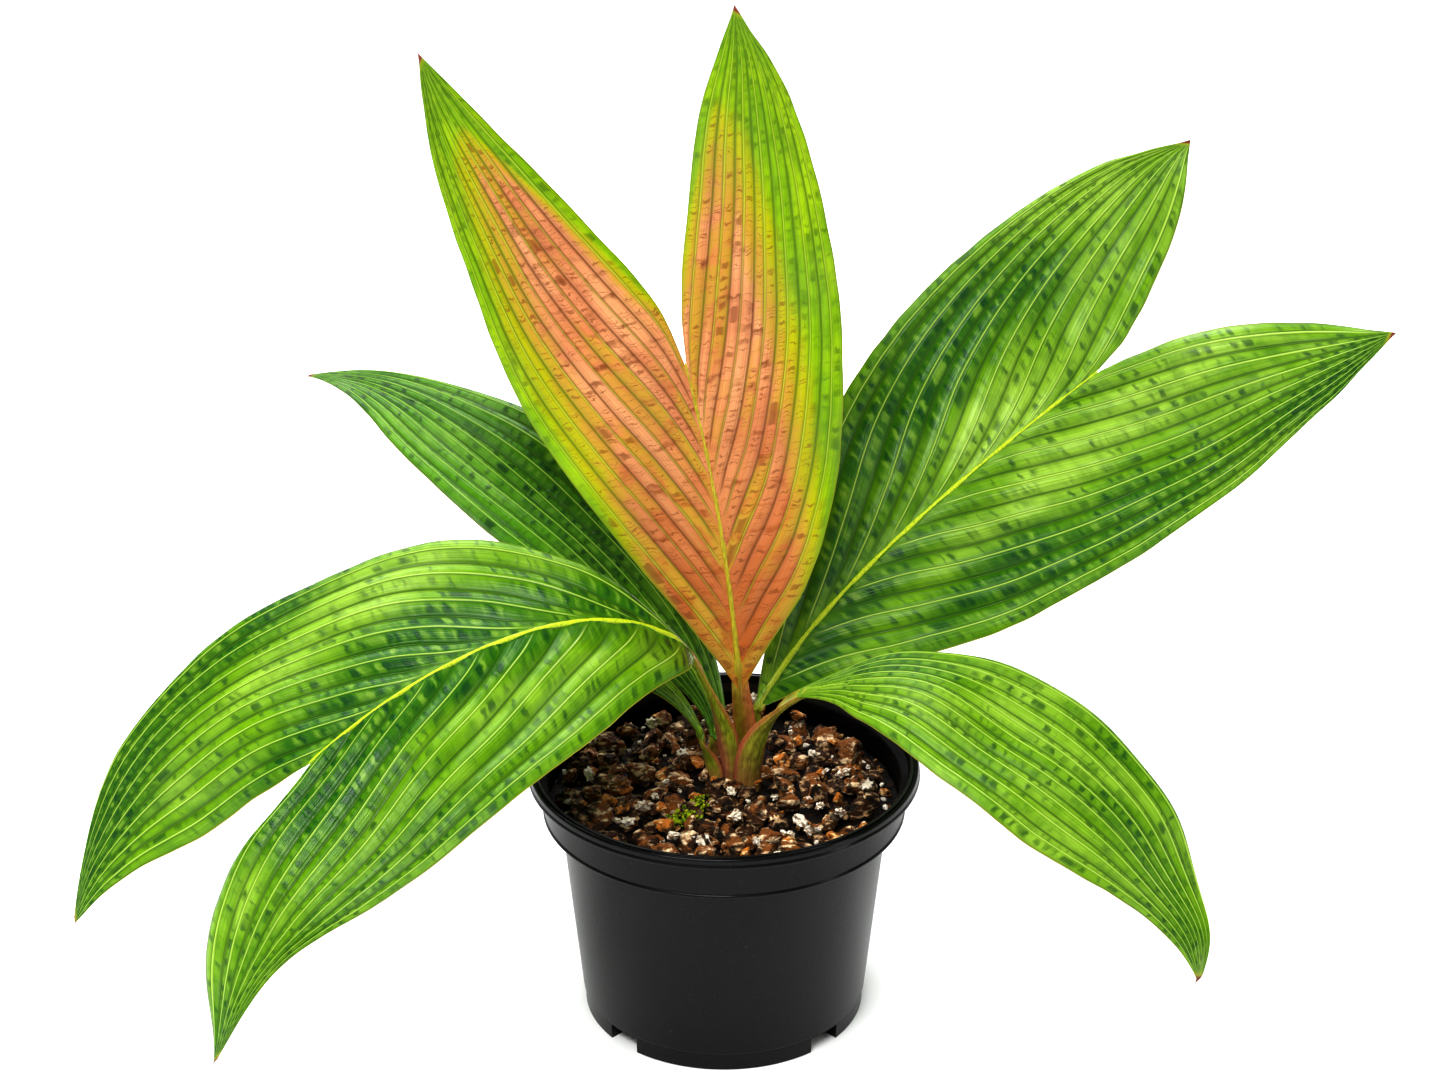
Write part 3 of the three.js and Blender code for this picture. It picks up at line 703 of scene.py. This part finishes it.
# Each lobe's outlines and tones are in mm along the midline and aside of it. The tones are the leaf's
# own patches with painted shade, such as the shadow by the front left leaf's rib, and painted sheen in
# lighter ones. A tone has its middle, how far it reaches along and aside, and its depth, which is
# darker above 0 and lighter below.
lobes = table("outer inner tones", {
    "young_upright_left": (
        [(0, -5), (16, -10), (45, -28), (89, -52), (143, -71), (199, -77), (253, -78), (293, -72)],
        [(167, -5), (205, -23), (249, -47)],
        [(290, -70, 28, 20, 0.5)]),
    "young_upright_right": (
        [(0, 5), (17, 13), (43, 33), (86, 53), (138, 67), (192, 73), (243, 70), (280, 58)],
        [(164, 4), (200, 16), (242, 34)],
        [(276, 60, 28, 20, 0.5)]),
    "back_right_upper": (
        [(2, -4), (31, -12), (62, -28), (106, -54), (160, -72), (217, -78), (271, -73), (310, -58)],
        [(236, -4), (261, -16), (288, -34)],
        [(75, -12, 45, 12, 1), (126, -38, 50, 15, 1.2), (186, -56, 50, 18, 1.1),
         (180, -12, 55, 13, -0.9), (258, -64, 26, 12, -0.8)]),
    "back_right_lower": (
        [(2, 4), (28, 17), (59, 38), (109, 62), (169, 75), (230, 78), (288, 73), (332, 64)],
        [(236, 4), (268, 15), (302, 36)],
        [(62, 9, 62, 10, 1), (84, 40, 24, 9, 0.5), (122, 42, 38, 13, 0.8), (185, 58, 60, 15, 0.8),
         (305, 66, 36, 9, 1), (176, 25, 42, 9, -1), (240, 24, 48, 13, -1)]),
    "front_left_upper": (
        [(0, -4), (22, -11), (50, -32), (96, -57), (152, -73), (210, -83), (265, -75), (301, -53)],
        [(208, -6), (236, -18), (268, -38)],
        [(150, -40, 400, 200, 0.12), (45, -9, 40, 10, 0.8), (125, -22, 55, 9, 0.8),
         (158, -9, 62, 8, 1), (180, -70, 42, 9, 0.6), (256, -67, 44, 14, 0.9),
         (292, -54, 24, 12, 0.5), (160, -48, 60, 12, -0.8), (104, -50, 25, 9, -0.6)]),
    "front_left_lower": (
        [(0, 4), (12, 16), (42, 37), (89, 60), (147, 72), (206, 70), (261, 57), (303, 57)],
        [(210, 4), (242, 9), (279, 26)],
        [(150, 36, 400, 200, 0.22), (84, 5, 56, 7, 0.7), (152, 8, 50, 9, 1.1),
         (190, 20, 36, 14, 1), (298, 50, 28, 16, 0.6), (128, 27, 30, 8, -0.6),
         (250, 22, 22, 9, -0.6), (64, 20, 22, 8, -0.5)]),
    "back_left_blade": (
        [(0, -3), (17, -9), (45, -20), (85, -39), (134, -47), (183, -40), (224, -18), (254, 1)],
        [(0, 3), (19, 9), (46, 18), (87, 30), (134, 35), (181, 28), (225, 18)],
        [(130, 2, 45, 18, 0.7), (60, -18, 30, 10, 0.6), (218, -6, 30, 18, 0.5),
         (182, -16, 26, 16, -0.6)]),
    "front_right_blade": (
        [(0, 3), (19, 11), (38, 24), (74, 37), (118, 41), (157, 32), (193, 14), (223, 3)],
        [(0, -3), (15, -10), (40, -27), (78, -42), (125, -46), (170, -40), (207, -24)],
        [(110, 0, 300, 200, -0.15), (50, -15, 44, 13, 1), (92, -17, 40, 13, -0.7),
         (152, -8, 34, 14, 0.8), (150, -38, 40, 8, 0.5), (200, -10, 26, 16, 0.5)]),
    "low_left_blade": (
        [(0, 3), (15, 6), (35, 10), (62, 21), (94, 26), (127, 26), (154, 13), (174, -1)],
        [(0, -3), (12, -6), (32, -10), (60, -18), (92, -28), (125, -25), (153, -13)],
        [(56, 12, 40, 9, 1), (66, -6, 24, 8, -0.6), (150, 2, 26, 16, 0.6), (118, 2, 26, 18, -0.9)]),
})


def bezier(controls, share):
    # Bernstein sum: each control point by its binomial weight
    controls = np.asarray(controls, float)
    degree = len(controls) - 1
    weights = [math.comb(degree, i) * share ** i * (1 - share) ** (degree - i) for i in range(degree + 1)]
    return sum(weight[..., None] * point for weight, point in zip(weights, controls))


def distances(curve):
    # how far along the curve each of its points lies
    return np.concatenate([[0], np.cumsum(np.linalg.norm(np.diff(curve, axis=0), axis=1))])


def evenCurve(stations, steps):
    # centripetal Catmull-Rom curve through the stations, sampled evenly along its length
    p = np.asarray(stations, float)
    p = np.concatenate([[2 * p[0] - p[1]], p, [2 * p[-1] - p[-2]]])
    gap = np.sqrt(np.linalg.norm(np.diff(p, axis=0), axis=1))[:, None]
    t = np.linspace(0, 1, 60, endpoint=False)[:, None, None]
    a, b, c, d = p[:-3], p[1:-2], p[2:-1], p[3:]
    g0, g1, g2 = gap[:-2], gap[1:-1], gap[2:]
    leave = ((b - a) / g0 - (c - a) / (g0 + g1) + (c - b) / g1) * g1
    arrive = ((c - b) / g1 - (d - b) / (g1 + g2) + (d - c) / g2) * g1
    curve = (2 * t**3 - 3 * t**2 + 1) * b + (t**3 - 2 * t**2 + t) * leave
    curve = curve + (3 * t**2 - 2 * t**3) * c + (t**3 - t**2) * arrive
    curve = np.concatenate([curve.transpose(1, 0, 2).reshape(-1, 2), p[-2:-1]])
    travelled = distances(curve)
    wanted = np.linspace(0, travelled[-1], steps + 1)
    return np.stack([np.interp(wanted, travelled, curve[:, k]) for k in (0, 1)], -1)


def midlineFrame(leaf, along):
    # point, direction, direction across and normal of the midline at distances along it
    fine = np.linspace(0, 1, 500)
    curve = bezier(leaf.midline, fine)
    travelled = distances(curve)
    inside = np.clip(along, 0, travelled[-1])
    share = np.interp(inside, travelled, fine)
    step = 1e-3
    ahead, behind = np.minimum(share + step, 1), np.maximum(share - step, 0)
    tangent = unit(bezier(leaf.midline, ahead) - bezier(leaf.midline, behind))
    point = bezier(leaf.midline, share) + tangent * (along - inside)[..., None]
    heading, dip = np.radians(leaf.across)
    across = np.array([math.cos(heading) * math.cos(dip), math.sin(heading) * math.cos(dip), -math.sin(dip)])
    across = unit(across - tangent * (tangent @ across)[..., None])
    return point, tangent, across, np.cross(tangent, across)


def placeOnLeaf(leaf, along, aside):
    # along the midline, aside of it, and off the flat by the fold of each half
    point, _, across, normal = midlineFrame(leaf, along)
    fold = math.radians(leaf.fold)
    raised = point + normal * (np.abs(aside) * math.sin(fold))[..., None]
    return raised + across * (aside * math.cos(fold))[..., None]


bladeLook = dict(
    rows=96, thickness=0.55, pleatRise=0.1, youngRise=0.06, bulge=0.06, ridge=0.36, ridgeWidth=0.26,
    groove=0.16, grooveAway=0.55, grooveWidth=0.22, sway=2.3, swayLength=80, edgeWave=0.15,
    edgeWaveLength=24, edgeWaveFade=1.2, rootAside=0.91, notchAside=0.42,
)
# one pleat's columns from valley to valley: share across it, offset in mm and the most share that
# the offset may take, then how much rib tone and painted shade the column has; the painted shade
# lies in the valley and beside the crest
pleatColumns = np.array([
    (0, 0, 0, 0.2, 0.9), (0, 0.25, 0.04, 0, 0.8), (0, 0.6, 0.09, 0, 0.2),
    (0.2, 0, 0, 0, 0), (0.33, 0, 0, 0, 0), (0.5, -0.85, 0.12, 0, 0), (0.5, -0.45, 0.07, 0, 0.3),
    (0.5, -0.2, 0.035, 0.7, 0), (0.5, 0, 0, 1, 0), (0.5, 0.2, 0.035, 0.7, 0),
    (0.5, 0.45, 0.07, 0, 0.9), (0.5, 0.85, 0.12, 0, 0.2), (0.67, 0, 0, 0, 0), (0.8, 0, 0, 0, 0),
    (1, -0.6, 0.09, 0, 0.2), (1, -0.25, 0.04, 0, 0.8),
])


def bladeGrid(leaf, lobe, seed):
    # straight rows join the outer margin to the inner one; off that sheet each half pleat rises by
    # rise (2h - 1) + bulge sin(pi h), with h from 0 in the valley to 1 on the crest, where a fine ridge
    # runs between grooves
    look = SimpleNamespace(**bladeLook)
    rows, pleats = look.rows, leaf.pleats
    outer, inner = list(lobe.outer), [*lobe.inner, lobe.outer[-1]]
    if leaf.notch:
        side = np.sign(outer[0][1])
        outer[0] = (outer[0][0], side * look.rootAside)
        inner.insert(0, (leaf.notch, side * look.notchAside))
    outer, inner = evenCurve(outer, rows), evenCurve(inner, rows)
    rib = unit(np.gradient((outer + inner) / 2, axis=0))
    row = inner - outer
    gap = np.maximum(np.abs(rib[:, 0] * row[:, 1] - rib[:, 1] * row[:, 0])[:-1, None] / pleats, 0.05)
    base, offset, most = pleatColumns[:, :3].T
    within = base + np.sign(offset) * np.minimum(np.abs(offset) / gap, most)
    across = (np.arange(pleats)[None, :, None] + within[:, None, :]).reshape(rows, -1)
    across = np.concatenate([across, np.full((rows, 1), pleats)], 1)
    ribTone = np.append(np.tile(pleatColumns[:, 3:], (pleats, 1)), pleatColumns[:1, 3:], axis=0)
    v = (across / pleats)[..., None]
    flat = outer[:-1, None] * (1 - v) + inner[:-1, None] * v
    u = np.linspace(0, 1, rows + 1)[:-1, None]
    toOuter, toInner = np.exp(-across * look.edgeWaveFade), np.exp((across - pleats) * look.edgeWaveFade)
    wave = waveNoise(flat, look.edgeWaveLength, seed + 1) * smooth(0, 0.15, u)
    flat[..., 1] += look.edgeWave * wave * (toOuter + toInner * bool(leaf.notch))
    sheet = placeOnLeaf(leaf, flat[..., 0], flat[..., 1])
    _, _, _, leafNormal = midlineFrame(leaf, flat[..., 0])
    normal = unit(np.cross(np.gradient(sheet, axis=0), np.gradient(sheet, axis=1)))
    normal = normal * (np.sign((normal * leafNormal).sum(-1, keepdims=True)) * leaf.upper)
    phase = across % 1
    half = 1 - 2 * np.abs(phase - 0.5)
    fromCrest = np.abs(phase - 0.5) * gap
    rise = look.youngRise if leaf is leaves["young_upright"] else look.pleatRise
    lift = rise * gap * (2 * half - 1) + look.bulge * gap * np.sin(np.pi * half)
    ridge = np.exp(-(fromCrest / look.ridgeWidth) ** 2) * look.ridge
    groove = np.exp(-((fromCrest - look.grooveAway) / look.grooveWidth) ** 2) * look.groove
    lift = lift + (ridge - groove) * smooth(1, 5, gap)
    lift = lift * (0.4 + 0.6 * smooth(0, 0.1, u))
    lift = lift + look.sway * waveNoise(sheet, look.swayLength, seed) * smooth(0, 0.3, u)
    return sheet + normal * lift[..., None], normal, flat, across, ribTone, u


# where the young leaf is salmon: from and to which share across each lobe, at shares of its
# height, and between which heights it fades away to the tip
salmonReach = {
    "height": (0, 0.3, 0.45, 0.6, 0.75, 0.9),
    "left": ((-0.2, 0.24, 0.28, 0.26, 0.34, 0.4), (1.3, 1.3, 1.2, 0.93, 0.84, 0.66), (0.95, 0.76)),
    "right": ((-0.2, 0.32, 0.38, 0.48, 0.58, 0.66), (1.3, 1.3, 1.2, 0.98, 0.92, 0.86), (0.96, 0.62)),
}


def buildBlade(leafName, side, material, slotName, seed):
    # two sheets half the thickness off the grid, joined round the rim and closed to a point at the tip
    leaf, lobe = leaves[leafName], lobes[f"{leafName}_{side}"]
    middle, normal, flat, across, ribTone, u = bladeGrid(leaf, lobe, seed)
    rows, columns = middle.shape[:2]
    rim = np.minimum(across, leaf.pleats - across)
    thick = bladeLook["thickness"] * (0.45 + 0.55 * smooth(0, 0.4, rim)) * (1 - 0.5 * smooth(0.9, 1, u))
    tip = placeOnLeaf(leaf, *np.array(lobe.outer[-1:], float).T)
    top, bottom = middle + normal * (thick / 2)[..., None], middle - normal * (thick / 2)[..., None]
    points = np.concatenate([top.reshape(-1, 3), bottom.reshape(-1, 3), tip])
    layer = rows * columns
    pole = 2 * layer
    topFaces = gridFaces(rows, columns)
    border = np.concatenate([np.arange(rows) * columns, [pole], (np.arange(rows)[::-1] + 1) * columns - 1,
                             np.arange(columns - 2, 0, -1)])
    ahead = np.roll(border, -1)
    inside = (border != pole) & (ahead != pole)
    rimFaces = np.stack([ahead, border, border + layer, ahead + layer], -1)[inside]
    lastRow = (rows - 1) * columns + np.arange(columns)
    ends = np.array([[lastRow[0], lastRow[0] + layer, pole], [lastRow[-1] + layer, lastRow[-1], pole]])
    closing = np.stack([lastRow[:-1], lastRow[1:], np.full(columns - 1, pole)], -1)
    faceSets = [topFaces, topFaces[:, ::-1] + layer, rimFaces,
                closing, np.stack([closing[:, 1] + layer, closing[:, 0] + layer, closing[:, 2]], -1), ends]
    spread = smooth(0, 0.05, u) * smooth(1, 0.97, u)
    # the rib line and the painted shade lines fade out at the blade's base and tip
    crest, shade = ribTone[None, :, 0] * spread, ribTone[None, :, 1] * spread
    edge = 0.6 * smooth(0.05, 0, rim) * spread + smooth(0.97, 0.992, u + 0 * rim)
    placedToneShadeAndSheen = 0.5 + 0 * rim
    if leafName == "young_upright":
        outer = np.array(lobe.outer)
        inner = np.array([(0, 0), (leaf.notch, 0), *lobe.inner, lobe.outer[-1]])
        outside, inside = (np.interp(flat[..., 0], line[:, 0], line[:, 1]) for line in (outer, inner))
        share = (outside - flat[..., 1]) / np.where(np.abs(outside - inside) < 1, 1, outside - inside)
        height = flat[..., 0] / outer[-1, 0]
        start, stop = (np.interp(height, salmonReach["height"], salmonReach[side][k]) for k in (0, 1))
        salmon = smooth(start - 0.3, start + 0.2, share) * (1 - smooth(stop - 0.1, stop + 0.1, share))
        placedToneShadeAndSheen = placedToneShadeAndSheen + salmon * smooth(*salmonReach[side][2], height) / 2
    # placed tones: the leaf's own patches with painted shade and painted sheen
    for along, aside, reachAlong, reachAside, depth in lobe.tones:
        away = ((flat[..., 0] - along) / reachAlong) ** 2 + ((flat[..., 1] - aside) / reachAside) ** 2
        placedToneShadeAndSheen = placedToneShadeAndSheen - depth / 2 * np.exp(-away)
    tint = np.stack([crest, shade, edge, np.clip(placedToneShadeAndSheen, 0, 1)], -1)
    tint = np.concatenate([tint.reshape(-1, 4), tint.reshape(-1, 4), [[0, 0, 1, 0]]])
    ribMap = np.stack([flat[..., 0] * mm, (across + seed * 20) * nominalPleat * mm], -1).reshape(-1, 2)
    ribMap = np.concatenate([ribMap, ribMap, ribMap[-1:]])
    addPiece(f"blade_{leafName}_{side}", points, faceSets, material,
             (f"frond_{leafName}_{side}",), ribMap, tint)


greenLeaf = leafMaterial("livingPalmLeaf")
# the back left leaf takes a darker copy of the living leaf's tones: painted shade
shadedLeaf = leafMaterial("shadedPalmLeaf")
youngLeaf = leafMaterial("youngPalmLeaf", young=True)
leafSlots = {"young_upright": (youngLeaf, "leaf_young"), "back_left": (shadedLeaf, "leaf_dark")}
for name in lobes:
    leafName, side = name.rsplit("_", 1)
    seed = list(leaves).index(leafName) * 3 + (side in ("right", "lower"))
    buildBlade(leafName, side, *leafSlots.get(leafName, (greenLeaf, "leaf_green")), seed)
print("the blades are pleated")

# Sheaths, stalks and ribs: a section carried along the stalk. It starts as a wide crescent that
# clasps the stem, closes to a channelled stalk, and under the blade becomes the rib. Each has its
# full widths at even steps from the soil to the blade, its thickness at the soil, the share of red
# blush on one flank, and the way that its hollow side faces.
sheathLook = {
    "young_upright": ((9, 9.6, 9.4, 9, 7.4), 3.6, 0.6, (0.1, -1)),
    "back_right": ((7, 7, 6.2, 5.4, 4.6), 3.2, 0, (-0.6, -0.8)),
    "front_left": ((8, 10.4, 9.6, 7, 5.4), 3.8, 0.8, (0.3, 1)),
    "back_left": ((7, 7, 6.4, 5.6, 4.8), 3, 0.6, (0.8, -0.6)),
    "front_right": ((12, 12.4, 10.4, 8, 6), 4.6, 0.15, (-0.35, 1)),
    "low_left": ((7, 7.6, 7.4, 6.6, 5.6), 3.4, 0.3, (0.5, 1)),
}
stalkShape = dict(
    sunk=6, sunkRows=4, soilLevel=101.3, around=44, bareRows=46, ribRows=60, ribWidths=(1.4, 0.7),
    keelWidths=(0.8, 0.25), keelShare=0.25, thinning=0.35, channel=0.72, channelFlattening=0.55,
    fibreCount=11, fibreRelief=0.035, unevenness=0.12,
)
stalk = SimpleNamespace(**stalkShape)


def stalkPath(leafName, leaf):
    # under the soil, up the bare stalk's quadratic curve, then along the midline
    foot = np.array([*leaf.foot, stalk.soilLevel])
    bare = bezier([foot, leaf.bend, leaf.midline[0]], np.linspace(0, 1, stalk.bareRows))
    length = leaf.notch or stalk.keelShare * lobes[f"{leafName}_blade"].outer[-1][0]
    along = np.linspace(0, length, stalk.ribRows + 1)[1:]
    rib, _, _, normal = midlineFrame(leaf, along)
    sunk = foot - np.outer(np.linspace(stalk.sunk, 0, stalk.sunkRows + 1)[:-1], (0, 0, 1))
    path = np.concatenate([sunk, bare, rib])
    growth = np.concatenate([np.zeros(len(sunk)), np.linspace(0, 1, len(bare)), 1 + along / length])
    return path, growth, normal[0] * leaf.upper


def buildStalk(leafName, leaf, material):
    # at angle a a section lies half width cos(a) aside of the path and depth sin(a) off it; its hollow
    # side is that depth times the channel, which turns from hollow to round under the blade
    widths, thickness, redness, hollowSide = sheathLook[leafName]
    path, growth, upper = stalkPath(leafName, leaf)
    tangent = unit(np.gradient(path, axis=0))
    inward = np.array([*hollowSide, 0])
    turn = smooth(0.15, 1, growth)[:, None]
    facing = unit(inward)[None] * (1 - turn) + upper[None] * turn
    facing = unit(facing - tangent * (facing * tangent).sum(-1, keepdims=True))
    aside = np.cross(tangent, facing)
    bareShare, ribShare = np.clip(growth, 0, 1), np.clip(growth - 1, 0, 1)
    startWidth, endWidth = stalk.ribWidths if leaf.notch else stalk.keelWidths
    half = np.interp(bareShare, np.linspace(0, 1, 5), widths) / 2
    join = smooth(0, 0.12, ribShare)
    half = half * (1 - join) + join * (startWidth + (endWidth - startWidth) * ribShare)
    depth = thickness * (1 - stalk.thinning * bareShare)
    depth = depth * (1 - smooth(0, 0.15, ribShare)) + half * smooth(0, 0.15, ribShare)
    channel = stalk.channel - stalk.channelFlattening * smooth(0.2, 1, bareShare) - smooth(0, 0.1, ribShare)
    closing = np.sqrt(np.clip(1 - smooth(0.97, 1, ribShare) ** 2, 0, 1))
    half, depth = (width * np.maximum(closing, 0.05) for width in (half, depth))
    angle = np.linspace(0, 2 * np.pi, stalk.around, endpoint=False)
    sine, cosine = np.sin(angle)[None], np.cos(angle)[None]
    rise = np.where(sine < 0, sine, -channel[:, None] * sine)
    relief = 1 + stalk.fibreRelief * np.cos(stalk.fibreCount * angle)[None]
    x = half[:, None] * cosine * relief
    y = depth[:, None] * rise * relief
    points = path[:, None] + aside[:, None] * x[..., None] + facing[:, None] * y[..., None]
    points = points + facing[:, None] * (stalk.unevenness * waveNoise(points, 5, 60))[..., None]
    edge = smooth(0.72, 1, np.abs(cosine)) * (1 - 0.7 * smooth(0.3, 1, bareShare))[:, None] * 0.85
    footMark = 0.7 * smooth(0.45, 0, bareShare)[:, None] + 0 * cosine
    ribMark = smooth(0, 0.12, ribShare)[:, None] + 0 * cosine
    blush = 0.8 * smooth(-0.4, 0.6, cosine) * (redness * (1 - smooth(0, 0.15, ribShare)))[:, None]
    tint = np.stack([edge, footMark, ribMark, blush], -1).reshape(-1, 4)
    tint = np.concatenate([tint, tint[:1], tint[-1:]])
    points = np.concatenate([points.reshape(-1, 3), path[:1], path[-1:]])
    addPiece(f"sheath_{leafName}", points, tubeFaces(*x.shape), material,
             (f"stalk_{leafName}",), tint=tint)


greenStalk = stalkMaterial("livingSheath")
youngStalk = stalkMaterial("youngSheath", {"base": "#948a1e", "deep": "#6a4a10", "blush": "#b85c46",
                                           "rib": "#a89a1c", "ribShade": "#74700a"})
undividedStalk = stalkMaterial("undividedSheath", {"rib": "#84a61c", "ribShade": "#587e08"})
for leafName, leaf in leaves.items():
    forkedStalk = youngStalk if leafName == "young_upright" else greenStalk
    buildStalk(leafName, leaf, forkedStalk if leaf.notch else undividedStalk)
print("the sheaths and ribs are drawn")
